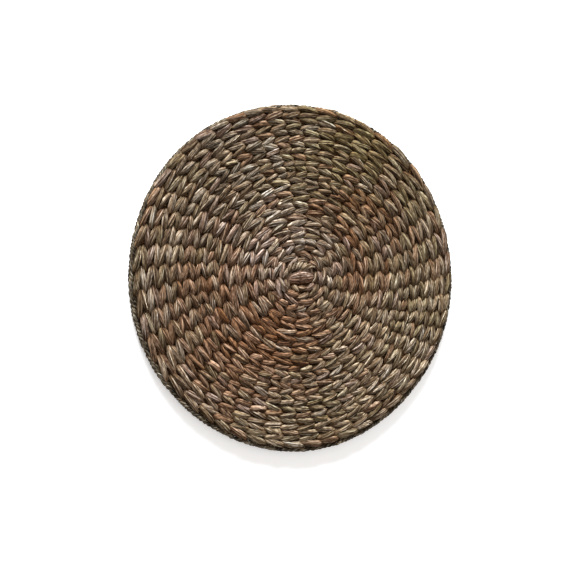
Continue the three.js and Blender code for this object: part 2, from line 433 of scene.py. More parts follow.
@dataclass
class WeavePlan:
    """Where the rounds and spokes of the mat lie, and how its leaf is coloured.

    The heart is oval by heart_oval, which fades over oval_fade, and the rim lies weave_shift
    further to +Y. The spokes with the most room split, by split_share of the room on each side.
    From round to round each spoke moves evening_share of the way to the middle of its
    neighbours, and all of them turn by swirl_per_round. A leaf has own_tone_share of a tone of
    its own, and the rest of its colour is the mean of the leaf that is worked there.
    """

    charger_radius: float = 179 * MM
    thickness: float = 12 * MM
    border_reach: float = 6.6 * MM
    rounds: int = 27
    heart_edge: float = 11 * MM
    heart_oval: float = 4.4 * MM
    oval_fade: float = 12 * MM
    weave_shift: float = 2.2 * MM
    first_spokes: int = 9
    spokes_uneven: float = math.radians(4)
    uneven_step: float = 2.6
    swirl_per_round: float = math.radians(0.5)
    split_spread: float = 0.35
    golden_share: float = 0.618
    split_share: float = 0.22
    evening_share: float = 0.3
    added_spokes: dict[int, int] = field(
        default_factory=lambda: {4: 9, 8: 3, 10: 4, 12: 4, 14: 6, 15: 5, 16: 4, 18: 3, 20: 3}
    )
    # Swells of the rim: how many, how high as a share of the radius, and where one peaks.
    rim_swells: tuple[tuple[int, float, float], ...] = (
        (1, 0.011, math.radians(151)),
        (2, 0.008, math.radians(169)),
        (3, 0.0026, math.radians(35)),
        (5, 0.0028, math.radians(60)),
    )
    tone_weights: dict[LeafTone, float] = field(
        default_factory=lambda: {
            LeafTone.TAUPE: 5.0,
            LeafTone.OLIVE: 2.2,
            LeafTone.STRAW: 1.2,
            LeafTone.ASH: 1.4,
            LeafTone.RUST: 1.4,
            LeafTone.LILAC: 1.2,
        }
    )
    patches: tuple[TonePatch, ...] = (
        TonePatch(LeafTone.RUST, 210, 0.45, 0.28, 22.0, 0.93),
        TonePatch(LeafTone.RUST, 248, 0.30, 0.24, 10.0, 0.96),
        TonePatch(LeafTone.RUST, 240, 0.72, 0.22, 7.0, 0.96),
        TonePatch(LeafTone.RUST, 42, 0.45, 0.22, 14.0, 0.88),
        TonePatch(LeafTone.RUST, 355, 0.38, 0.16, 8.0, 0.94),
        TonePatch(LeafTone.OLIVE, 62, 0.92, 0.42, 12.0, 0.65),
        TonePatch(LeafTone.ASH, 118, 0.92, 0.38, 10.0, 0.64),
        TonePatch(LeafTone.ASH, 112, 0.22, 0.19, 9.0, 1.22),
        TonePatch(LeafTone.LILAC, 150, 0.25, 0.21, 8.0, 1.24),
        TonePatch(LeafTone.STRAW, 322, 0.88, 0.34, 9.0, 1.10),
        TonePatch(LeafTone.OLIVE, 348, 0.86, 0.28, 8.0, 1.0),
        TonePatch(LeafTone.OLIVE, 272, 0.90, 0.30, 8.0, 1.06),
        TonePatch(LeafTone.RUST, 265, 0.07, 0.06, 5.0, 0.88),
    )
    own_tone_share: float = 0.42
    darkest_leaf: float = 0.72
    lightest_leaf: float = 1.32

    @property
    def centre(self) -> Vector:
        """The middle of the weave, which is the middle of the heart."""
        low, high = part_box("heart_leaves")
        return Vector(((low.x + high.x) / 2, (low.y + high.y) / 2, 0))

    @property
    def last_crest(self) -> float:
        """Mean radius of the last round's middle."""
        return self.charger_radius - self.border_reach

    @property
    def pitch(self) -> float:
        """Width of one round."""
        return (self.last_crest - self.heart_edge) / (self.rounds - 0.5)

    @property
    def edge_radius(self) -> float:
        """Mean radius of the last round's outer edge."""
        return self.last_crest + self.pitch / 2

    def crest(self, index: int) -> float:
        """Mean radius of a round's middle, counted from nought at the heart."""
        return self.heart_edge + (index + 0.5) * self.pitch

    def out_of_round(self, angle: float) -> float:
        """How far the rim stands out of round at an angle, as a share of the radius."""
        return sum(share * math.cos(n * (angle - peak)) for n, share, peak in self.rim_swells)

    def ring_radius(self, mean: float, angle: float) -> float:
        """Finds the radius of a ring: oval near the heart, out of round near the rim.

        Args:
            mean: The ring's mean radius.
            angle: The angle round the mat.

        Returns:
            Its radius at that angle.
        """
        fade = math.exp((self.heart_edge - mean) / self.oval_fade)
        oval = self.heart_oval * fade * math.cos(2 * angle)
        uneven = mean * self.out_of_round(angle) + self.weave_shift * math.sin(angle)
        return mean + oval + uneven * (mean / self.edge_radius) ** 2

    def at(self, mean: float, angle: float, height: float) -> tuple[float, float, float]:
        """Finds a point of a ring.

        Args:
            mean: The ring's mean radius.
            angle: The angle round the mat.
            height: The height above the table.

        Returns:
            The point.
        """
        radius = self.ring_radius(mean, angle)
        x, y = radius * math.cos(angle), radius * math.sin(angle)
        return (self.centre.x + x, self.centre.y + y, height)

    def spokes_by_round(self) -> list[list[tuple[float, int]]]:
        """Works out the spokes as they are added from the heart to the rim.

        Returns:
            For each round, the angle and the number of every spoke. A spoke keeps its number
            from round to round, and a split gives its second half a new one.
        """
        spokes = []
        for k in range(self.first_spokes):
            uneven = self.spokes_uneven * math.sin(self.uneven_step * k + 1)
            spokes.append((TURN * k / self.first_spokes + uneven, k))
        numbered = self.first_spokes
        found = []
        for index in range(self.rounds):
            added = self.added_spokes.get(index + 1)
            if added:
                spokes, numbered = self._split_widest(spokes, added, numbered)
            spokes = self._even_out(spokes)
            found.append(spokes)
        return found

    @staticmethod
    def gaps(angles: Sequence[float]) -> list[tuple[float, float]]:
        """The gap before and the gap after each of a round's spokes."""
        after = [b - a for a, b in zip(angles, [*angles[1:], angles[0] + TURN])]
        return list(zip([after[-1], *after[:-1]], after))

    def _split_widest(
        self, spokes: list[tuple[float, int]], added: int, numbered: int
    ) -> tuple[list[tuple[float, int]], int]:
        """Splits the spokes with the most room beside them in two, spread round the mat.

        Args:
            spokes: The angle and the number of every spoke.
            added: How many of them are split.
            numbered: The first number that no spoke has yet.

        Returns:
            The spokes with the new ones among them, and the next free number.
        """
        gaps = self.gaps([angle for angle, _ in spokes])
        room = [
            (1 + self.split_spread * ((k * self.golden_share) % 1)) * sum(pair)
            for k, pair in enumerate(gaps)
        ]
        widest = set(sorted(range(len(spokes)), key=lambda k: -room[k])[:added])
        found = []
        for k, ((angle, number), (before, after)) in enumerate(zip(spokes, gaps)):
            if k in widest:
                found.append((angle - self.split_share * before, number))
                found.append((angle + self.split_share * after, numbered))
                numbered += 1
            else:
                found.append((angle, number))
        return found, numbered

    def _even_out(self, spokes: list[tuple[float, int]]) -> list[tuple[float, int]]:
        """Moves each spoke towards the middle of its neighbours and a little round."""
        gaps = self.gaps([angle for angle, _ in spokes])
        return [
            (angle + self.evening_share * (after - before) / 2 + self.swirl_per_round, number)
            for (angle, number), (before, after) in zip(spokes, gaps)
        ]

    def leaf_colour(self, radius: float, angle: float, chance: random.Random) -> Colour:
        """Picks the colour of one leaf.

        Args:
            radius: The leaf's distance from the middle.
            angle: Its angle round the mat.
            chance: The source of random numbers.

        Returns:
            A linear colour between the mean of the leaf worked here and one tone of it. A light
            leaf is greyer than a dark one.
        """
        place = Vector((math.cos(angle), math.sin(angle))) * radius / self.charger_radius
        weights = dict(self.tone_weights)
        lightness = chance.triangular(self.darkest_leaf, self.lightest_leaf, 1.0)
        for patch in self.patches:
            strength = patch.strength(place)
            weights[patch.tone] += patch.weight * strength
            lightness *= 1 + (patch.light - 1) * strength
        total = sum(weights.values())
        tones = {tone: linear(tone.value) for tone in weights}
        mean = [sum(weights[t] * tones[t][c] for t in weights) / total for c in range(3)]
        own = tones[chance.choices(list(weights), list(weights.values()))[0]]
        share = self.own_tone_share
        picked = [(1 - share) * m + share * c for m, c in zip(mean, own)]
        grey = (lightness - 1) * sum(picked) / 3
        return tuple(c + grey for c in picked)


PLAN = WeavePlan()


@dataclass(frozen=True)
class LeafNoise:
    """One kind of mark along a leaf.

    Its density and how far it is drawn out are shares of what the finish says for fine lines.
    The relief is its share of the leaf's height.
    """

    density: float
    drawn_out: float
    detail: float
    relief: float


FINE_LINES = LeafNoise(density=1.0, drawn_out=1.0, detail=3.0, relief=0.25)
BROAD_LINES = LeafNoise(density=0.5, drawn_out=1.0, detail=1.0, relief=0.3)
DOTS = LeafNoise(density=0.6, drawn_out=9.0, detail=2.0, relief=0.15)
BLOTCHES = LeafNoise(density=0.13, drawn_out=9.0, detail=2.0, relief=0.0)
RIDGES = LeafNoise(density=0.36, drawn_out=1.3, detail=0.0, relief=0.3)
RIDGE_STEEPNESS = 8.0
BROAD_STREAK_SHARE = 0.6


def fibre_group() -> bpy.types.NodeTree:
    """Makes the group that draws fine fibre lines along a leaf.

    Returns:
        A shader group. Its inputs are the leaf's run, how many lines lie in a metre across and
        how many in a metre along, and how strong they are; it gives a height and masks of long
        streaks, short specks, brown blotches and narrow creases.
    """
    tree = bpy.data.node_groups.new("leaf_fibres", "ShaderNodeTree")
    sockets = tree.interface
    sockets.new_socket("Run", in_out="INPUT", socket_type="NodeSocketVector")
    for name in ("Across", "Along", "Contrast"):
        sockets.new_socket(name, in_out="INPUT", socket_type="NodeSocketFloat")
    for name in ("Height", "Streaks", "Speckle", "Blotches", "Creases"):
        sockets.new_socket(name, in_out="OUTPUT", socket_type="NodeSocketFloat")
    sheet = NodeSheet(tree)
    given = sheet.place("NodeGroupInput")
    across, along, contrast = (sheet.value(given, n) for n in ("Across", "Along", "Contrast"))
    x, y, z = sheet.parts(sheet.value(given, "Run"))

    def marks(kind: LeafNoise) -> Field:
        """Draws one kind of mark along the leaf.

        Args:
            kind: The kind of mark.

        Returns:
            Its noise, between nought and one.
        """
        lengthwise = along * (kind.density * kind.drawn_out)
        crosswise = across * kind.density
        place = sheet.vector(x * lengthwise, y * crosswise, z * crosswise)
        inputs = {"Vector": place, "Scale": 1.0, "Detail": kind.detail}
        return sheet.value(sheet.place("ShaderNodeTexNoise", inputs), "Fac")

    fine, broad, dots, blotches, ridge = (
        marks(kind) for kind in (FINE_LINES, BROAD_LINES, DOTS, BLOTCHES, RIDGES)
    )
    # A crease runs wherever its noise passes the middle, so it is narrow and never ends short.
    ridge = ((ridge - 0.5).size() * RIDGE_STEEPNESS).at_most(1.0)
    height = fine * FINE_LINES.relief + broad * BROAD_LINES.relief + dots * DOTS.relief
    sheet.place(
        "NodeGroupOutput",
        {
            "Height": height + ridge * RIDGES.relief,
            "Streaks": (
                fine * (1 - BROAD_STREAK_SHARE) + broad * BROAD_STREAK_SHARE
            ).sharpened(contrast),
            "Speckle": dots.sharpened(contrast),
            "Blotches": blotches.sharpened(contrast),
            "Creases": ridge.rest(),
        },
    )
    return tree


def depth_group() -> bpy.types.NodeTree:
    """Makes the group that finds how deep in the weave a point lies.

    Returns:
        A shader group for painted shade. It takes the depth below each face at which the weave is
        painted in full shade, and gives 1 there and 0 at either face of the mat.
    """
    tree = bpy.data.node_groups.new("weave_depth", "ShaderNodeTree")
    tree.interface.new_socket("Depth", in_out="INPUT", socket_type="NodeSocketFloat")
    tree.interface.new_socket("Shade", in_out="OUTPUT", socket_type="NodeSocketFloat")
    sheet = NodeSheet(tree)
    given = sheet.place("NodeGroupInput")
    place = sheet.place("ShaderNodeTexCoord")
    height = sheet.parts(sheet.value(place, "Object"))[2]
    middle = PLAN.thickness / 2
    below = ((height - middle).size() * -1.0 + middle).at_least(0.0)
    sheet.place("NodeGroupOutput", {"Shade": (below / sheet.value(given, "Depth")).at_most(1.0)})
    return tree


FIBRES = fibre_group()
DEPTH = depth_group()


@dataclass(frozen=True)
class LeafFinish:
    """The finish of dried, twisted leaf: dull and finely lined, with painted shade that makes it
    browner and darker in its folds and deep in the weave.
    """

    name: str
    tint: Colour = (1.0, 1.0, 1.0)
    lines_across: float = 1150.0
    lines_along: float = 60.0
    contrast: float = 7.0
    dark_streak: Colour = (0.40, 0.34, 0.28)
    light_streak: Colour = (1.58, 1.64, 1.70)
    dark_speck: Colour = (0.58, 0.53, 0.48)
    light_speck: Colour = (1.42, 1.45, 1.49)
    blotch_shade: Colour = (0.78, 0.66, 0.53)
    blotch_strength: float = 0.55
    crease_shade: Colour = (0.30, 0.20, 0.11)
    crease_strength: float = 1.0
    crease_curve: float = 0.85
    line_strength: float = 0.9
    deep_shade: Colour = (0.82, 0.60, 0.36)
    shade_depth: float = 6.0 * MM
    shade_curve: float = 1.2
    roughness: float = 0.76
    roughness_swing: float = 0.16
    gloss: float = 0.12
    bump: float = 1.0
    bump_height: float = 1.3 * MM

    def material(self) -> bpy.types.Material:
        """Builds the material from the leaf's own run and tone, and from its fold-shade layer,
        which paints shade into its folds.

        Returns:
            The material.
        """
        made = bpy.data.materials.new(self.name)
        made.use_nodes = True
        sheet = NodeSheet(made.node_tree)
        shader = made.node_tree.nodes["Principled BSDF"]
        run = sheet.place("ShaderNodeAttribute", attribute_name=RUN)
        fibres = sheet.place(
            "ShaderNodeGroup",
            {
                "Run": run.outputs["Vector"],
                "Across": self.lines_across,
                "Along": self.lines_along,
                "Contrast": self.contrast,
            },
            node_tree=FIBRES,
        )
        feed(made.node_tree, shader.inputs["Base Color"], self._colour(sheet, fibres))
        swing = sheet.value(fibres, "Streaks") * -self.roughness_swing
        dull = swing + (self.roughness + self.roughness_swing / 2)
        feed(made.node_tree, shader.inputs["Roughness"], dull)
        shader.inputs["Specular IOR Level"].default_value = self.gloss
        bump = sheet.place(
            "ShaderNodeBump",
            {
                "Strength": self.bump,
                "Distance": self.bump_height,
                "Height": sheet.value(fibres, "Height"),
            },
        )
        feed(made.node_tree, shader.inputs["Normal"], bump.outputs["Normal"])
        return made

    def _colour(self, sheet: NodeSheet, fibres: bpy.types.Node) -> Field:
        """Mixes the colour: the leaf's own tone and its marks, darkened by painted shade in its
        folds and deep in the weave.

        Args:
            sheet: The material's sheet.
            fibres: The group that draws the marks along the leaf.

        Returns:
            The colour.
        """
        tone = sheet.place("ShaderNodeAttribute", attribute_name=TONE)
        crease = sheet.place("ShaderNodeAttribute", attribute_name=FOLD_SHADE)
        depth = sheet.place("ShaderNodeGroup", {"Depth": self.shade_depth}, node_tree=DEPTH)
        colour = sheet.mix("MULTIPLY", 1.0, tone.outputs["Color"], (*self.tint, 1.0))
        stain = sheet.value(fibres, "Blotches") * self.blotch_strength
        colour = sheet.mix("MULTIPLY", stain, colour, (*self.blotch_shade, 1.0))
        for mask, dark, light in (
            ("Streaks", self.dark_streak, self.light_streak),
            ("Speckle", self.dark_speck, self.light_speck),
        ):
            lit = sheet.mix("MIX", sheet.value(fibres, mask), (*dark, 1.0), (*light, 1.0))
            colour = sheet.mix("MULTIPLY", 1.0, colour, lit)
        # Painted shade: the leaf is darkened and browned along its folds, towards its diving ends
        # and along its narrow creases.
        folds = sheet.value(crease, "Fac") ** self.crease_curve * self.crease_strength
        folds = folds.at_least(sheet.value(fibres, "Creases") * self.line_strength)
        colour = sheet.mix("MULTIPLY", folds, colour, (*self.crease_shade, 1.0))
        # Painted shade: the deeper a point lies between the two faces, the darker and browner it
        # is painted.
        shade = sheet.value(depth, "Shade") ** self.shade_curve
        return sheet.mix("MULTIPLY", shade, colour, (*self.deep_shade, 1.0))


class Face(Enum):
    """The two faces of the mat: the one that shows and the one that lies on the table."""

    UPPER = 1.0
    UNDER = -1.0


@dataclass
class Stitches:
    """The plump twisted stitches of one face, one over each spoke in each round.

    The lines of a section crowd to its top by crowding, and its stations to both ends by
    end_crowding. A smaller arch makes a stitch flatter on top, and tilt says how far its section
    leans as it dives. Its ends keep the share blunt of its size, and taper and fullness say how
    late and how suddenly it slims to them. A valley is folded in by fold_depth at most, and by
    least_valley of that at least, and a ridge by most_ridge of it at most. A round strays in and
    out by wander on its way round.
    """

    name: str
    face: Face
    seed: int
    sides: int = 12
    segments: int = 6
    crowding: float = 0.15
    rise: float = 3.75 * MM
    half_height: float = 2.6 * MM
    half_width: float = 4.3 * MM
    lean: float = 2.4 * MM
    overlap: float = 1.26
    ragged: float = 0.22
    arch: float = 0.6
    tilt: float = 0.75
    fold_depth: float = 0.58
    leaf_twist: float = 0.35
    blunt: float = 0.4
    taper: float = 2.8
    fullness: float = 0.6
    end_crowding: float = 0.35
    fold_contrast: float = 2.6
    least_valley: float = 0.4
    most_ridge: float = 0.35
    wander: float = 0.5 * MM
    wander_waves: int = 3
    stray: Range = Range(-0.04, 0.04)
    radius_stray: Range = Range(-0.3 * MM, 0.3 * MM)
    span_share: Range = Range(0.94, 1.08)
    lean_share: Range = Range(0.55, 1.25)
    rise_share: Range = Range(0.86, 1.05)
    width_share: Range = Range(0.84, 1.1)
    height_share: Range = Range(0.86, 1.06)
    roll: Range = Range(-0.5, 0.5)
    twist_share: Range = Range(-0.4, 1.8)
    skew: Range = Range(-0.2, 0.2)

    # Steps that set the folds of a stitch, and the stitches, apart in waves and noise.
    FOLD_PHASE = 7.3
    STITCH_PHASE = 3.9
    NOISE_ALONG = 1.1
    NOISE_PER_FOLD = 5.3
    NOISE_PER_STITCH = 2.7
    RUN_PER_STITCH = (0.37, 0.11)

    # The sizes that each stitch carries on its own point.
    OWN = (
        "turn",
        "half_span",
        "radius",
        "lean",
        "rise",
        "wide",
        "high",
        "roll",
        "twist",
        "skew",
        "number",
    )

    def rows(self) -> tuple[list[dict[str, float]], list[Colour]]:
        """Works out the stitches from the heart to the rim.

        Returns:
            Each stitch's own sizes, and the linear colour of each.
        """
        chance = random.Random(self.seed)
        rows: list[dict[str, float]] = []
        tones: list[Colour] = []
        for index, spokes in enumerate(PLAN.spokes_by_round()):
            angles = [angle for angle, _ in spokes]
            side = 1 if (PLAN.rounds - 1 - index) % 2 == 0 else -1
            phase = chance.uniform(0, TURN)
            for angle, (before, after) in zip(angles, PLAN.gaps(angles)):
                middle = angle + (after - before) / 4 + self.stray.pick(chance) * after
                radius = PLAN.ring_radius(PLAN.crest(index), middle)
                radius += self.wander * math.sin(self.wander_waves * middle + phase)
                rows.append(
                    {
                        "turn": middle,
                        "half_span": (before + after) / 4 * self.span_share.pick(chance),
                        "radius": radius + self.radius_stray.pick(chance),
                        "lean": side * self.lean * self.lean_share.pick(chance),
                        "rise": self.rise * self.rise_share.pick(chance),
                        "wide": self.half_width * self.width_share.pick(chance),
                        "high": self.half_height * self.height_share.pick(chance),
                        "roll": self.roll.pick(chance),
                        "twist": side * self.leaf_twist * self.twist_share.pick(chance),
                        "skew": self.skew.pick(chance),
                        "number": float(len(rows)),
                    }
                )
                tones.append(PLAN.leaf_colour(radius, middle, chance))
        return rows, tones

    def on_top(
        self, stitch: dict[str, float], t: np.ndarray, shift: np.ndarray, lift: np.ndarray
    ) -> np.ndarray:
        """Finds points that lie on a stitch.

        Args:
            stitch: The stitch's own sizes.
            t: How far along the stitch each point is, from -1 to 1.
            shift: How far towards the middle of the mat it is, as a share of the half width.
            lift: How far it stands off the leaf.

        Returns:
            One row for each point.
        """
        bulk = (1 - np.abs(t) ** self.taper) ** self.fullness
        spindle = bulk * (1 - self.blunt) + self.blunt
        out = stitch["high"] * spindle * np.sqrt(1 - shift**2) + lift
        slope = t * (math.pi / 2) * self.tilt
        up = stitch["rise"] * np.cos(t * math.pi / 2) ** self.arch + out * np.cos(slope)
        forward = stitch["half_span"] * self.overlap * t
        angle = stitch["turn"] + forward + out * np.sin(slope) / stitch["radius"]
        distance = stitch["radius"] + stitch["lean"] * t - shift * spindle * stitch["wide"]
        x = PLAN.centre.x + distance * np.cos(angle)
        y = PLAN.centre.y + distance * np.sin(angle)
        return np.stack([x, y, PLAN.thickness / 2 + up], axis=1)

    def places(self) -> bpy.types.Mesh:
        """Makes one point for each stitch, which carries that stitch's own sizes.

        Returns:
            A mesh of loose points with one attribute for each size.
        """
        rows, tones = self.rows()
        mesh = bpy.data.meshes.new(self.name + "_places")
        mesh.vertices.add(len(rows))
        for name in self.OWN:
            layer = mesh.attributes.new(name, "FLOAT", "POINT")
            layer.data.foreach_set("value", [row[name] for row in rows])
        layer = mesh.attributes.new(TONE, "FLOAT_COLOR", "POINT")
        layer.data.foreach_set("color", [c for tone in tones for c in (*tone, 1.0)])
        return mesh

    def tree(self) -> bpy.types.NodeTree:
        """Builds the tree that swells each point into a stitch.

        A stitch arches over its spoke and dives between two spokes at both ends. It leans
        across its round, the other way in the next round, so that the tips of one column of
        stitches lie between the tips of the next.

        Returns:
            The tree.
        """
        sizes = (
            "Face",
            "Half Thickness",
            "Overlap",
            "Arch",
            "Tilt",
            "Fold Depth",
            "Blunt",
            "Taper",
            "Fullness",
        )
        of_section = ("Crowding", "Ragged")
        whole = ("Sides", "Segments", "Seed")
        tree = geometry_tree(
            self.name,
            [
                *((name, "NodeSocketFloat") for name in (*sizes, *of_section)),
                *((name, "NodeSocketInt") for name in whole),
                ("Finish", "NodeSocketMaterial"),
            ],
        )
        sheet = NodeSheet(tree)
        given = sheet.place("NodeGroupInput")
        face, middle, overlap, arch, tilt, fold_depth, blunt, taper, fullness = (
            sheet.value(given, name) for name in sizes
        )
        beans = self._beans(sheet, given)
        own = {name: sheet.attribute(name) for name in self.OWN}
        c, s, t, crease = self._folded(sheet, given, own)
        bulk = (t + own["skew"] * (t * t).rest()).size() ** taper
        spindle = (bulk.rest().at_least(0.0) ** fullness) * blunt.rest() + blunt
        section = spindle * (crease * fold_depth).rest()

        roll = own["roll"] + own["twist"] * t
        across = (c * roll.cos() - s * roll.sin()) * section * own["wide"]
        out = (c * roll.sin() + s * roll.cos()) * section * own["high"]
        arching = t * (math.pi / 2)
        slope = arching * tilt
        up = own["rise"] * (arching.cos().at_least(0.0) ** arch) + out * slope.cos()
        forward = own["half_span"] * overlap * t + out * slope.sin() / own["radius"]
        angle = own["turn"] + face * forward
        distance = own["radius"] + own["lean"] * t - across
        height = (middle + face * up).at_least(0.0)
        where = sheet.vector(
            distance * angle.cos() + PLAN.centre.x,
            distance * angle.sin() + PLAN.centre.y,
            height,
        )
        moved = sheet.place("GeometryNodeSetPosition", {"Geometry": beans, "Position": where})
        lengthwise, crosswise = (own["number"] * step for step in self.RUN_PER_STITCH)
        run = sheet.vector(
            t * own["half_span"] * own["radius"] + lengthwise,
            c * own["wide"] + crosswise,
            s * own["high"],
        )
        kept = sheet.store(moved.outputs["Geometry"], RUN, run, "FLOAT_VECTOR")
        # Painted shade: the leaf is painted darker and browner in its folds and towards its ends,
        # where it dives under the next stitch.
        dive_shade = (t * t) * t.size()
        kept = sheet.store(kept, FOLD_SHADE, crease.at_least(dive_shade))
        close_tree(sheet, kept, given.outputs["Finish"])
        return tree

    def _beans(self, sheet: NodeSheet, given: bpy.types.Node) -> bpy.types.NodeSocket:
        """Puts a plain straight bean on every point.

        Args:
            sheet: The tree's sheet.
            given: The tree's input node.

        Returns:
            The socket of the beans. Each point of them keeps its place on the bean.
        """
        bean = sheet.place(
            "GeometryNodeMeshCylinder",
            {
                "Vertices": given.outputs["Sides"],
                "Side Segments": given.outputs["Segments"],
                "Radius": 1.0,
                "Depth": 2.0,
            },
            fill_type="NGON",
        )
        position = sheet.value(sheet.place("GeometryNodeInputPosition"))
        shaped = sheet.store(bean.outputs["Mesh"], "section", position, "FLOAT_VECTOR")
        placed = sheet.place(
            "GeometryNodeInstanceOnPoints",
            {"Points": given.outputs["Geometry"], "Instance": shaped},
        )
        loose = sheet.place(
            "GeometryNodeRealizeInstances", {"Geometry": placed.outputs["Instances"]}
        )
        return loose.outputs[0]

    def _folded(
        self, sheet: NodeSheet, given: bpy.types.Node, own: dict[str, Field]
    ) -> tuple[Field, Field, Field, Field]:
        """Folds a stitch's section lengthwise: every second line of it is a valley.

        Args:
            sheet: The tree's sheet.
            given: The tree's input node.
            own: The stitch's own sizes.

        Returns:
            A point's place across the section and up it, its place along the stitch, all from
            -1 to 1, and how deep in a fold it lies, from 0 to 1.
        """
        sides, crowding, ragged = (
            sheet.value(given, name) for name in ("Sides", "Crowding", "Ragged")
        )
        even_c, even_s, even_t = sheet.parts(sheet.attribute("section", "FLOAT_VECTOR"))
        # The lines of the section crowd towards its top, and its stations towards both ends.
        from_top = even_c.math("ARCTAN2", even_s)
        crowded = from_top - even_c * crowding
        column = (from_top / TURN * sides + sides + 0.5).math("FLOOR").math("MODULO", sides)
        # Each fold of a stitch ends a little sooner or later than the next.
        phase = column * self.FOLD_PHASE + own["number"] * self.STITCH_PHASE
        longer = phase.sin() * ragged * 0.5
        squared = even_t * even_t
        t = even_t * (squared * -self.end_crowding + (1 + self.end_crowding))
        t = (t * (squared * longer + 1.0)).at_least(-1.0).at_most(1.0)
        # The folds deepen and fade along the stitch, each in its own way.
        place = sheet.vector(
            t * self.NOISE_ALONG,
            column * self.NOISE_PER_FOLD,
            own["number"] * self.NOISE_PER_STITCH,
        )
        uneven = sheet.place(
            "ShaderNodeTexNoise",
            {"Vector": place, "W": given.outputs["Seed"], "Scale": 1.0, "Detail": 0.0},
            noise_dimensions="4D",
        )
        depth = sheet.value(uneven, "Fac").sharpened(self.fold_contrast)
        valley = (column + own["number"]).math("MODULO", 2.0)
        in_valley = depth * (1 - self.least_valley) + self.least_valley
        crease = valley * in_valley + valley.rest() * depth * self.most_ridge
        return crowded.sin(), crowded.cos(), t, crease

    def build(self, finish: bpy.types.Material) -> bpy.types.Object:
        """Makes the stitches as one mesh.

        Args:
            finish: The leaf's material.

        Returns:
            The finished piece.
        """
        values = {
            "Sides": self.sides,
            "Segments": self.segments,
            "Seed": self.seed,
            "Face": self.face.value,
            "Half Thickness": PLAN.thickness / 2,
            "Crowding": self.crowding,
            "Overlap": self.overlap,
            "Ragged": self.ragged,
            "Arch": self.arch,
            "Tilt": self.tilt,
            "Fold Depth": self.fold_depth,
            "Blunt": self.blunt,
            "Taper": self.taper,
            "Fullness": self.fullness,
            "Finish": finish,
        }
        piece = grow(self.name, self.places(), self.tree(), values)
        for name in (*self.OWN, "section"):
            piece.data.attributes.remove(piece.data.attributes[name])
        return fit_out(piece, ["woven_disc"])


class StrandMesh:
    """Gathers closed strands, each swept along a path, into one mesh with the leaf's layers."""

    # How far the run of a strand is set off, for every face gathered before it.
    RUN_PER_FACE = 0.31
    # Keeps a division by a length or a depth of nought from failing.
    TINY = 1e-9

    def __init__(self) -> None:
        """Starts with nothing gathered."""
        self.points: list[np.ndarray] = []
        self.faces: list[list[int]] = []
        self.runs: list[np.ndarray] = []
        self.tones: list[np.ndarray] = []
        self.creases: list[np.ndarray] = []
        self.count = 0

    def add(
        self,
        path: np.ndarray,
        half_width: np.ndarray,
        half_height: np.ndarray,
        tone: Colour,
        sides: int = 8,
        roll: np.ndarray | float = 0.0,
        folds: np.ndarray | None = None,
    ) -> None:
        """Sweeps one closed strand.

        Args:
            path: Its centre line, one row a station.
            half_width: Half its width at each station, level with the table.
            half_height: Half its height at each station.
            tone: Its linear colour.
            sides: Points round its section.
            roll: How far the section is turned at each station, in radians.
            folds: How far each line of the section is folded in, as a share.
        """
        stations = len(path)
        along = np.gradient(path, axis=0)
        along /= np.linalg.norm(along, axis=1, keepdims=True)
        side = np.cross(along, [0.0, 0.0, 1.0])
        side /= np.maximum(np.linalg.norm(side, axis=1, keepdims=True), self.TINY)
        up = np.cross(side, along)
        angle = TURN * np.arange(sides) / sides
        folds = np.zeros(sides) if folds is None else folds
        turned = angle[None, :] + np.broadcast_to(roll, (stations,))[:, None]
        x = np.cos(turned) * (1 - folds) * half_width[:, None]
        y = np.sin(turned) * (1 - folds) * half_height[:, None]
        ring = path[:, None, :] + x[..., None] * side[:, None, :] + y[..., None] * up[:, None, :]
        length = np.concatenate([[0], np.cumsum(np.linalg.norm(np.diff(path, axis=0), axis=1))])
        length += self.RUN_PER_FACE * len(self.faces)
        run = np.stack(
            [
                np.broadcast_to(length[:, None], x.shape),
                np.broadcast_to(np.cos(angle) * half_width.mean(), x.shape),
                np.broadcast_to(np.sin(angle) * half_height.mean(), x.shape),
            ],
            axis=-1,
        )
        self.points += [ring.reshape(-1, 3), path[[0, -1]]]
        self.runs += [run.reshape(-1, 3), run[[0, -1], 0]]
        self.tones.append(np.tile([*tone, 1.0], (stations * sides + 2, 1)))
        # The fold shares go to the fold-shade layer, which paints shade into the folds.
        self.creases += [np.tile(folds / max(folds.max(), self.TINY), stations), np.zeros(2)]
        self._join(stations, sides)

    def _join(self, stations: int, sides: int) -> None:
        """Adds the faces of the strand that was swept last, and counts its points.

        Args:
            stations: How many rings of points it has.
            sides: How many points are in a ring.
        """
        start = self.count
        for i in range(stations - 1):
            for k in range(sides):
                a, b = start + i * sides + k, start + i * sides + (k + 1) % sides
                self.faces.append([a, a + sides, b + sides, b])
        first, last = start + stations * sides, start + stations * sides + 1
        tail = start + (stations - 1) * sides
        for k in range(sides):
            after = (k + 1) % sides
            self.faces.append([first, start + k, start + after])
            self.faces.append([last, tail + after, tail + k])
        self.count += stations * sides + 2

    def mesh(self, name: str, finish: bpy.types.Material) -> bpy.types.Mesh:
        """Makes the mesh.

        Args:
            name: The mesh's name.
            finish: Its material.

        Returns:
            The mesh, shaded smooth, with its run and tone layers and a fold-shade layer for
            painted shade.
        """
        made = bpy.data.meshes.new(name)
        made.from_pydata(np.concatenate(self.points).tolist(), [], self.faces)
        layers = (
            (RUN, "FLOAT_VECTOR", "vector", self.runs),
            (TONE, "FLOAT_COLOR", "color", self.tones),
            (FOLD_SHADE, "FLOAT", "value", self.creases),
        )
        for layer_name, kind, key, values in layers:
            layer = made.attributes.new(layer_name, kind, "POINT")
            flat = np.concatenate([np.ravel(v) for v in values]).astype(np.float32)
            layer.data.foreach_set(key, flat)
        made.polygons.foreach_set("use_smooth", [True] * len(made.polygons))
        made.materials.append(finish)
        return made


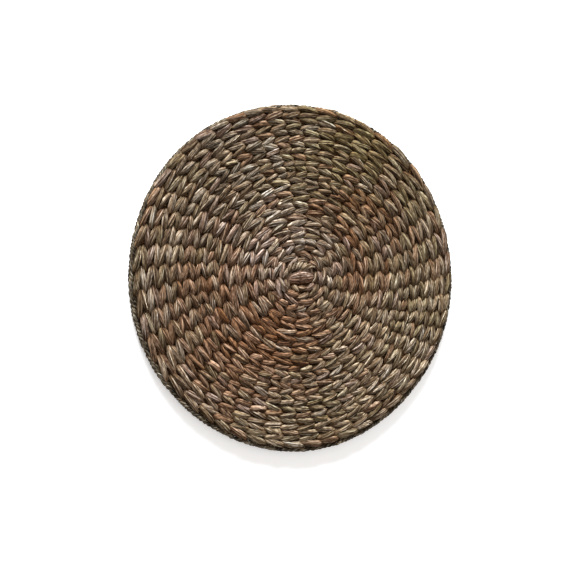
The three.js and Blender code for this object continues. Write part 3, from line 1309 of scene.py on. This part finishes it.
@dataclass
class LooseFibres:
    """Thin fibres that have frayed from the leaf and lie along the stitches, lighter than the
    leaf: partly the dry straw's own colour, partly a painted highlight along leaf edges.

    The start, the least length and the furthest end are places along a stitch, from -1 to 1. The
    shift and the bend are shares of its half width.
    """

    fibres: int = 60
    radius: float = 0.24 * MM
    lift: float = 0.3 * MM
    curl: float = 0.5 * MM
    stations: int = 8
    sides: int = 5
    start: Range = Range(-0.85, -0.2)
    shortest: float = 0.6
    furthest: float = 0.8
    shift: Range = Range(-0.5, 0.5)
    bend: Range = Range(-0.3, 0.3)
    bend_waves: int = 3
    size_share: Range = Range(0.8, 1.3)
    end_thinning: float = 0.5
    # Lighter than the leaf: partly the straw's own colour, partly a painted highlight along leaf
    # edges.
    tone: Colour = (0.80, 0.74, 0.65)
    lightness: Range = Range(0.75, 1.2)
    seed: int = 17

    def build(self, stitches: Stitches, finish: bpy.types.Material) -> bpy.types.Object:
        """Lays each fibre along a stitch, with its ends a little off the leaf.

        Args:
            stitches: The stitches that the fibres have come from.
            finish: The fibres' material.

        Returns:
            The finished piece.
        """
        chance = random.Random(self.seed)
        gathered = StrandMesh()
        rows, _ = stitches.rows()
        near_end = np.linspace(-1, 1, self.stations) ** 4
        for stitch in chance.sample(rows, self.fibres):
            start = self.start.pick(chance)
            end = Range(start + self.shortest, self.furthest).pick(chance)
            t = np.linspace(start, end, self.stations)
            shift = self.shift.pick(chance) + self.bend.pick(chance) * np.cos(self.bend_waves * t)
            path = stitches.on_top(stitch, t, shift, self.lift + self.curl * near_end)
            size = self.radius * self.size_share.pick(chance) * (1 - self.end_thinning * near_end)
            tone = scaled(self.tone, self.lightness.pick(chance))
            gathered.add(path, size, size, tone, sides=self.sides)
        piece = show("loose_fibres", gathered.mesh("loose_fibres", finish))
        return fit_out(piece, ["woven_disc"])


@dataclass
class SpokeLayer:
    """The layer between the two faces: radial spokes in a thin bed of packed leaf."""

    bed_half_height: float = 0.9 * MM
    bed_inset: float = 4.0 * MM
    bed_steps: int = 200
    bed_rings: tuple[float, float] = (0.5, 1.0)
    spoke_half_width: float = 2.3 * MM
    spoke_half_height: float = 1.7 * MM
    spoke_sides: int = 8
    rounds_before_first: float = 0.8
    rounds_past_last: float = 0.2
    size_share: Range = Range(0.85, 1.1)
    seed: int = 5

    def bed(self, finish: bpy.types.Material) -> bpy.types.Object:
        """Makes the bed, a thin closed disc that stands for the mat as a sheet.

        Args:
            finish: The bed's material.

        Returns:
            The finished piece.
        """
        middle = PLAN.thickness / 2
        edge = PLAN.edge_radius - self.bed_inset
        angles = [TURN * step / self.bed_steps for step in range(self.bed_steps)]
        points = []
        for level in (middle + self.bed_half_height, middle - self.bed_half_height):
            points.append((PLAN.centre.x, PLAN.centre.y, level))
            for share in self.bed_rings:
                points += [PLAN.at(share * edge, angle, level) for angle in angles]
        n = self.bed_steps
        lower = 2 * n + 1
        faces = []
        for k in range(n):
            j = (k + 1) % n
            inner_k, inner_j, outer_k, outer_j = 1 + k, 1 + j, 1 + n + k, 1 + n + j
            faces.append([0, inner_k, inner_j])
            faces.append([inner_k, outer_k, outer_j, inner_j])
            faces.append([lower, lower + inner_j, lower + inner_k])
            faces.append([lower + i for i in (inner_j, outer_j, outer_k, inner_k)])
            faces.append([outer_k, lower + outer_k, lower + outer_j, outer_j])
        mesh = bpy.data.meshes.new("spoke_bed")
        mesh.from_pydata(points, [], faces)
        tone = mesh.attributes.new(TONE, "FLOAT_COLOR", "POINT")
        shade = (*linear(LeafTone.TAUPE.value), 1.0)
        tone.data.foreach_set("color", list(shade) * len(points))
        run = mesh.attributes.new(RUN, "FLOAT_VECTOR", "POINT")
        run.data.foreach_set("vector", [c for p in points for c in p])
        mesh.materials.append(finish)
        return fit_out(show("spoke_bed", mesh), ["woven_disc"])

    def spokes(self, finish: bpy.types.Material) -> bpy.types.Object:
        """Makes the spokes that the stitches are worked over.

        Args:
            finish: The spokes' material.

        Returns:
            The finished piece.
        """
        chance = random.Random(self.seed)
        lines: dict[int, list[tuple[float, float]]] = {}
        for index, spokes in enumerate(PLAN.spokes_by_round()):
            for angle, number in spokes:
                lines.setdefault(number, []).append((PLAN.crest(index), angle))
        gathered = StrandMesh()
        for number in sorted(lines):
            line = lines[number]
            start = (line[0][0] - self.rounds_before_first * PLAN.pitch, line[0][1])
            end = (line[-1][0] + self.rounds_past_last * PLAN.pitch, line[-1][1])
            stations = (start, *line, end)
            path = np.array([PLAN.at(r, a, PLAN.thickness / 2) for r, a in stations])
            size = np.array([self.size_share.pick(chance) for _ in path])
            tone = PLAN.leaf_colour(line[0][0], line[0][1], chance)
            wide, high = self.spoke_half_width * size, self.spoke_half_height * size
            gathered.add(path, wide, high, tone, sides=self.spoke_sides)
        piece = show("spokes", gathered.mesh("spokes", finish))
        return fit_out(piece, ["woven_disc"])


@dataclass(frozen=True)
class LeafFolds:
    """How a leaf over the heart is folded lengthwise: every second line of it is a valley."""

    sides: int = 18
    depth: float = 0.36
    depth_share: Range = Range(0.2, 1.0)

    def pick(self, chance: random.Random) -> np.ndarray:
        """Draws how deep each line of one leaf's section is folded in, as a share."""
        depths = [self.depth_share.pick(chance) * (i % 2) for i in range(self.sides)]
        return self.depth * np.array(depths)


@dataclass(frozen=True)
class HeartBundle:
    """The folded leaves that lie side by side across the crossing of the spokes and tie it.

    The middles of the leaves spread over middles_share of the half width, and over end_spread of
    that at their ends. They are widest a little to +X, by hump_share, and bow to +Y by arch. The
    middle leaf lies crown_depth under the top of the mat, and the outer ones crown_fall lower,
    with the whole bundle banked up to +Y by bank.
    """

    leaves: int = 8
    stations: int = 22
    half_length: float = 19.5 * MM
    half_width: float = 8.4 * MM
    middles_share: float = 0.8
    slant: float = math.radians(4)
    hump_share: float = 0.25
    bow_power: float = 2.2
    end_spread: float = 0.12
    arch: float = 1.4 * MM
    floor: float = 5.5 * MM
    crown_depth: float = 1.2 * MM
    crown_fall: float = 1.2 * MM
    bank: float = 0.8 * MM
    fullness: float = 0.62
    leaf_half_width: float = 1.4 * MM
    leaf_half_height: float = 1.5 * MM
    end_size: float = 0.4
    end_power: float = 2.4
    leaf_roll: float = 0.4
    leaf_twist: float = 0.5
    length_share: Range = Range(0.86, 1.0)
    drift: Range = Range(-0.8 * MM, 0.8 * MM)
    top_stray: Range = Range(-0.4 * MM, 0.4 * MM)
    width_share: Range = Range(0.8, 1.25)
    height_share: Range = Range(0.85, 1.1)
    # Painted light: the lighter tone of the leaves on the +Y side, towards the light.
    tone: Colour = (0.680, 0.600, 0.550)
    # Painted shade: the darker, browner tone of the leaves on the -Y side, away from the light.
    shade_side_tone: Colour = (0.520, 0.410, 0.350)
    lightness: Range = Range(0.85, 1.15)

    def lay(self, gathered: StrandMesh, folds: LeafFolds, chance: random.Random) -> None:
        """Lays the leaves, arched to +Y and highest on that side, where they are painted lighter
        as lit; towards -Y they are painted darker and browner as shaded.

        Args:
            gathered: The mesh that they go into.
            folds: How they are folded.
            chance: The source of random numbers.
        """
        turn = np.array(Matrix.Rotation(self.slant, 3, "Z"))
        t = np.linspace(-1, 1, self.stations)
        # The leaves start close together at the -X end and spread past the middle.
        hump = t - self.hump_share * (1 - t**2)
        bow = np.maximum(1 - np.abs(hump) ** self.bow_power, 0.0)
        bow = bow * (1 - self.end_spread) + self.end_spread
        slim = tapered(t, self.end_size, self.end_power)
        light, low = linear(self.tone), linear(self.shade_side_tone)
        for k in range(self.leaves):
            place = (k + 0.5) / self.leaves * 2 - 1
            x = t * self.half_length * self.length_share.pick(chance)
            drift = self.drift.pick(chance) * t
            spread = place * self.half_width * self.middles_share * bow
            y = spread + drift + self.arch * (1 - t**2)
            crown = self.crown_depth + self.crown_fall * place**2 - self.bank * place
            top = PLAN.thickness - crown + self.top_stray.pick(chance)
            z = self.floor + (top - self.floor) * np.cos(t * math.pi / 2) ** self.fullness
            path = np.stack([x, y, z], axis=1) @ turn.T + np.array(PLAN.centre)
            width = self.leaf_half_width * self.width_share.pick(chance) * slim
            height = self.leaf_half_height * self.height_share.pick(chance) * slim
            roll = self.leaf_roll * place + self.leaf_twist * t * chance.choice((-1, 1))
            share = (place + 1) / 2
            lightness = self.lightness.pick(chance)
            # Painted light and shade: the leaves to +Y take the lit tone, those to -Y the darker
            # shaded tone.
            tone = tuple(lightness * (share * a + (1 - share) * b) for a, b in zip(light, low))
            gathered.add(path, width, height, tone, folds.sides, roll, folds.pick(chance))


@dataclass(frozen=True)
class HeartStrips:
    """The short strips that slant over the first round, on the +Y side of the bundle.

    The first starts at the angle first, and the others follow clockwise over the angle fan. Each
    turns clockwise by swing as it runs out over this many rounds.
    """

    strips: int = 10
    stations: int = 11
    first: float = math.radians(176)
    fan: float = math.radians(105)
    swing: float = 0.7
    rounds: float = 1.3
    floor: float = 8.8 * MM
    rise: float = 3.4 * MM
    end_rise: float = 0.1
    half_width: float = 1.35 * MM
    flatness: float = 0.8
    end_size: float = 0.5
    end_power: float = 2.4
    stray: Range = Range(-0.08, 0.08)
    height_stray: Range = Range(-0.3 * MM, 0.2 * MM)
    width_share: Range = Range(0.75, 1.3)
    roll: Range = Range(-0.4, 0.4)
    tone: Colour = (0.490, 0.440, 0.378)
    lightness: Range = Range(0.8, 1.2)

    def lay(self, gathered: StrandMesh, folds: LeafFolds, chance: random.Random) -> None:
        """Lays the strips in a fan.

        Args:
            gathered: The mesh that they go into.
            folds: How they are folded.
            chance: The source of random numbers.
        """
        share = np.linspace(0, 1, self.stations)
        mean = PLAN.heart_edge + share * self.rounds * PLAN.pitch
        slim = tapered(2 * share - 1, self.end_size, self.end_power)
        bow = np.sin(math.pi * (self.end_rise + (1 - 2 * self.end_rise) * share))
        for k in range(self.strips):
            start = self.first - self.fan * k / (self.strips - 1)
            angle = start + self.stray.pick(chance) - self.swing * share
            height = self.floor + self.rise * bow + self.height_stray.pick(chance)
            path = np.array([PLAN.at(*station) for station in zip(mean, angle, height)])
            width = self.half_width * self.width_share.pick(chance) * slim
            tone = scaled(self.tone, self.lightness.pick(chance))
            roll = self.roll.pick(chance)
            thick = self.flatness * width
            gathered.add(path, width, thick, tone, folds.sides, roll, folds.pick(chance))


@dataclass
class HeartLeaves:
    """The leaves over the heart: the bundle that ties the spokes, and the strips beside it."""

    bundle: HeartBundle = HeartBundle()
    strips: HeartStrips = HeartStrips()
    folds: LeafFolds = LeafFolds()
    seed: int = 3

    def build(self, finish: bpy.types.Material) -> bpy.types.Object:
        """Lays the bundle of leaves and the strips that run into it from the first round.

        Args:
            finish: The leaves' material.

        Returns:
            The finished piece.
        """
        chance = random.Random(self.seed)
        gathered = StrandMesh()
        self.bundle.lay(gathered, self.folds, chance)
        self.strips.lay(gathered, self.folds, chance)
        piece = show("heart_bundle", gathered.mesh("heart_bundle", finish))
        return fit_out(piece, ["heart_leaves"])


@dataclass(frozen=True)
class Cord:
    """One fine two-ply cord of the border.

    The inset is measured inwards from the outline to the cord's middle.
    """

    height: float
    inset: float
    twists: int
    hand: int


@dataclass
class Border:
    """The cords of finely twisted leaf that are worked round the edge, one on the other.

    The middle of a ply lies ply_offset from the middle of its cord. Its twist runs up to
    uneven_twist radians ahead, and a larger twist_changes lets that vary more often. The leaf is
    lighter and darker by tone_swing, in waves of which tone_waves gives the number round the rim.
    """

    cords: tuple[Cord, ...] = (
        Cord(height=6.9 * MM, inset=2.0 * MM, twists=118, hand=1),
        Cord(height=3.4 * MM, inset=1.9 * MM, twists=112, hand=-1),
        Cord(height=5.6 * MM, inset=4.6 * MM, twists=96, hand=1),
    )
    ply_radius: float = 1.05 * MM
    ply_offset: float = 0.85 * MM
    uneven_twist: float = 22.0
    twist_changes: float = 5.0
    lump_height: float = 0.9 * MM
    lumps_per_metre: float = 150.0
    steps_per_twist: int = 12
    sides: int = 8
    tone: Colour = (0.425, 0.425, 0.405)
    tone_swing: float = 0.9
    tone_waves: tuple[float, ...] = (23.0, 41.0, 67.0)
    tone_shift_per_metre: float = 900.0

    def tree(self) -> bpy.types.NodeTree:
        """Builds the tree that lays each ply as a helix round the rim.

        Returns:
            The tree.
        """
        tree = geometry_tree(
            "border_cords",
            (
                ("Ply Radius", "NodeSocketFloat"),
                ("Ply Offset", "NodeSocketFloat"),
                ("Uneven Twist", "NodeSocketFloat"),
                ("Lump Height", "NodeSocketFloat"),
                ("Lumps", "NodeSocketFloat"),
                ("Sides", "NodeSocketInt"),
                ("Finish", "NodeSocketMaterial"),
            ),
        )
        sheet = NodeSheet(tree)
        given = sheet.place("NodeGroupInput")
        joined = sheet.place("GeometryNodeJoinGeometry")
        for cord in self.cords:
            for start in (0.0, math.pi):
                ply = self._ply(sheet, given, cord, start)
                tree.links.new(ply, joined.inputs["Geometry"])
        # The leaf of the cords swells and thins as it goes.
        place = sheet.value(sheet.place("GeometryNodeInputPosition"))
        swell = sheet.place(
            "ShaderNodeTexNoise",
            {"Vector": place, "Scale": given.outputs["Lumps"], "Detail": 1.0},
        )
        size = (sheet.value(swell, "Fac") - 0.5) * 2.0 * sheet.value(given, "Lump Height")
        normal = sheet.value(sheet.place("GeometryNodeInputNormal"))
        push = sheet.place("ShaderNodeVectorMath", {0: normal, "Scale": size}, operation="SCALE")
        swollen = sheet.place(
            "GeometryNodeSetPosition",
            {"Geometry": joined.outputs["Geometry"], "Offset": push.outputs["Vector"]},
        )
        close_tree(sheet, swollen.outputs["Geometry"], given.outputs["Finish"])
        return tree

    def _ply(
        self, sheet: NodeSheet, given: bpy.types.Node, cord: Cord, start: float
    ) -> bpy.types.NodeSocket:
        """Lays one ply of a cord.

        Args:
            sheet: The tree that the ply is laid in.
            given: The tree's input node.
            cord: The cord that the ply belongs to.
            start: The ply's angle round the cord where the cord starts.

        Returns:
            The socket of the ply's mesh.
        """
        steps = cord.twists * self.steps_per_twist
        ring = sheet.place("GeometryNodeCurvePrimitiveCircle", {"Resolution": steps})
        index = sheet.value(sheet.place("GeometryNodeInputIndex"))
        angle = index * (TURN / steps)
        # The cord's height in millimetres sets its noise and its run apart from the others'.
        apart = cord.height / MM
        way_round = sheet.vector(
            angle.cos() * self.twist_changes, angle.sin() * self.twist_changes, apart
        )
        wander = sheet.place("ShaderNodeTexNoise", {"Vector": way_round, "Scale": 1.0})
        uneven = sheet.value(wander, "Fac") * sheet.value(given, "Uneven Twist")
        turn = angle * float(cord.hand * cord.twists) + start + uneven
        swells = [
            ((angle - peak) * float(lobes)).cos() * share
            for lobes, share, peak in PLAN.rim_swells
        ]
        outline = (sum(swells[1:], swells[0]) + 1.0) * PLAN.charger_radius
        offset = sheet.value(given, "Ply Offset")
        radius = outline - cord.inset + turn.cos() * offset
        where = sheet.vector(
            radius * angle.cos() + PLAN.centre.x,
            radius * angle.sin() + PLAN.centre.y,
            turn.sin() * offset + cord.height,
        )
        laid = sheet.place(
            "GeometryNodeSetPosition", {"Geometry": ring.outputs["Curve"], "Position": where}
        )
        length = angle * PLAN.charger_radius + (start + apart)
        lengthwise = sheet.store(laid.outputs["Geometry"], "lengthwise", length)
        profile = sheet.place(
            "GeometryNodeCurvePrimitiveCircle",
            {"Resolution": given.outputs["Sides"], "Radius": given.outputs["Ply Radius"]},
        )
        place = sheet.value(sheet.place("GeometryNodeInputPosition"))
        section = sheet.store(profile.outputs["Curve"], "crosswise", place, "FLOAT_VECTOR")
        tube = sheet.place(
            "GeometryNodeCurveToMesh", {"Curve": lengthwise, "Profile Curve": section}
        )
        x, y, _ = sheet.parts(sheet.attribute("crosswise", "FLOAT_VECTOR"))
        run = sheet.vector(sheet.attribute("lengthwise"), x, y)
        return sheet.store(tube.outputs["Mesh"], RUN, run, "FLOAT_VECTOR")

    def build(self, finish: bpy.types.Material) -> bpy.types.Object:
        """Makes the cords as one mesh.

        Args:
            finish: The cords' material.

        Returns:
            The finished piece.
        """
        values = {
            "Ply Radius": self.ply_radius,
            "Ply Offset": self.ply_offset,
            "Uneven Twist": self.uneven_twist,
            "Lump Height": self.lump_height,
            "Lumps": self.lumps_per_metre,
            "Sides": self.sides,
            "Finish": finish,
        }
        piece = grow("border_cords", bpy.data.meshes.new("rim"), self.tree(), values)
        place = np.zeros(3 * len(piece.data.vertices))
        piece.data.vertices.foreach_get("co", place)
        x, y, z = place.reshape(-1, 3).T
        angle = np.arctan2(y, x)
        shift = z * self.tone_shift_per_metre
        waves = [np.sin(wave * angle + wave + shift) for wave in self.tone_waves]
        light = 1 + self.tone_swing * np.mean(waves, axis=0)
        colours = np.ones((len(x), 4))
        colours[:, :3] = np.outer(light, linear(self.tone))
        tone = piece.data.attributes.new(TONE, "FLOAT_COLOR", "POINT")
        tone.data.foreach_set("color", colours.ravel())
        return fit_out(piece, ["rim_border"])


@dataclass
class Studio:
    """A plain pale floor, soft light and a camera at the photograph's angle."""

    tilt: float = math.radians(23.8)
    distance: float = 1.49
    focal_pixels: float = 1463.0
    image_width: int = 580
    sensor_width: float = 36.0
    aim: Vector = field(default_factory=lambda: Vector((-11.7, -3.7, 9)) * MM)
    floor_size: float = 12.0
    floor_drop: float = 0.3 * MM
    floor_colour: Colour = (0.94, 0.94, 0.94)
    floor_roughness: float = 0.9
    floor_gloss: float = 0.2
    floor_glow: float = 0.3
    sky_colour: Colour = (1.0, 0.965, 0.935)
    sky_strength: float = 0.66
    key_colour: Colour = (0.92, 0.97, 1.0)
    key_power: float = 490.0
    key_size: tuple[float, float] = (2.2, 1.0)
    key_place: Vector = field(default_factory=lambda: Vector((-0.5, 3.4, 1.2)))

    def build(self) -> None:
        """Makes the floor, the lights, the sky and the camera."""
        self._floor()
        self._lights()
        self._camera()
        bpy.context.scene.view_settings.view_transform = "Standard"

    def _floor(self) -> None:
        """Lays a wide pale floor just under the mat: a light table, lit a little from below."""
        half = self.floor_size / 2
        mesh = bpy.data.meshes.new("floor")
        corners = [(-half, -half), (half, -half), (half, half), (-half, half)]
        mesh.from_pydata([(x, y, -self.floor_drop) for x, y in corners], [], [[0, 1, 2, 3]])
        paint = bpy.data.materials.new("floor_paint")
        paint.use_nodes = True
        shader = paint.node_tree.nodes["Principled BSDF"]
        shader.inputs["Base Color"].default_value = (*self.floor_colour, 1.0)
        shader.inputs["Roughness"].default_value = self.floor_roughness
        shader.inputs["Specular IOR Level"].default_value = self.floor_gloss
        shader.inputs["Emission Color"].default_value = (1.0, 1.0, 1.0, 1.0)
        shader.inputs["Emission Strength"].default_value = self.floor_glow
        mesh.materials.append(paint)
        show("floor", mesh)

    def _lights(self) -> None:
        """Hangs one broad light beyond the mat and lights the sky evenly."""
        lamp = bpy.data.lights.new("window", "AREA")
        lamp.energy = self.key_power
        lamp.color = self.key_colour
        lamp.shape = "RECTANGLE"
        lamp.size, lamp.size_y = self.key_size
        holder = bpy.data.objects.new("window", lamp)
        holder.location = self.key_place
        holder.rotation_euler = self.key_place.to_track_quat("Z", "Y").to_euler()
        bpy.context.scene.collection.objects.link(holder)
        world = bpy.data.worlds.new("sky")
        world.use_nodes = True
        sky = world.node_tree.nodes["Background"]
        sky.inputs["Color"].default_value = (*self.sky_colour, 1.0)
        sky.inputs["Strength"].default_value = self.sky_strength
        bpy.context.scene.world = world

    def _camera(self) -> None:
        """Places the camera, tilted to the -X side, with +Y up the picture."""
        data = bpy.data.cameras.new("camera")
        data.sensor_width = self.sensor_width
        data.lens = self.focal_pixels / self.image_width * self.sensor_width
        camera = bpy.data.objects.new("camera", data)
        right = Vector((math.cos(self.tilt), 0, math.sin(self.tilt)))
        up = Vector((0, 1, 0))
        back = right.cross(up)
        turn = Matrix((right, up, back)).transposed().to_4x4()
        place = PLAN.centre + self.aim + back * self.distance
        camera.matrix_world = Matrix.Translation(place) @ turn
        bpy.context.scene.collection.objects.link(camera)
        bpy.context.scene.camera = camera


def main() -> None:
    logging.basicConfig(level=logging.INFO, format="%(name)s: %(message)s")
    leaf = LeafFinish("leaf").material()
    heart_leaf = LeafFinish("heart_leaf", shade_depth=8 * MM).material()
    border_leaf = LeafFinish("border_leaf", roughness=0.7, lines_across=2600.0).material()
    # Painted shade: the bed and the spokes, deep in the weave, are tinted darker and browner.
    shaded_leaf = LeafFinish("shaded_leaf", tint=(0.60, 0.46, 0.33), roughness=0.8).material()

    Studio().build()
    layer = SpokeLayer()
    mat = layer.bed(shaded_leaf)
    upper = Stitches("upper_stitches", Face.UPPER, seed=11)
    pieces = [
        layer.spokes(shaded_leaf),
        upper.build(leaf),
        Stitches("under_stitches", Face.UNDER, seed=13, sides=10, segments=5).build(leaf),
        LooseFibres().build(upper, leaf),
        HeartLeaves().build(heart_leaf),
        Border().build(border_leaf),
    ]


if __name__ == "__main__":
    main()
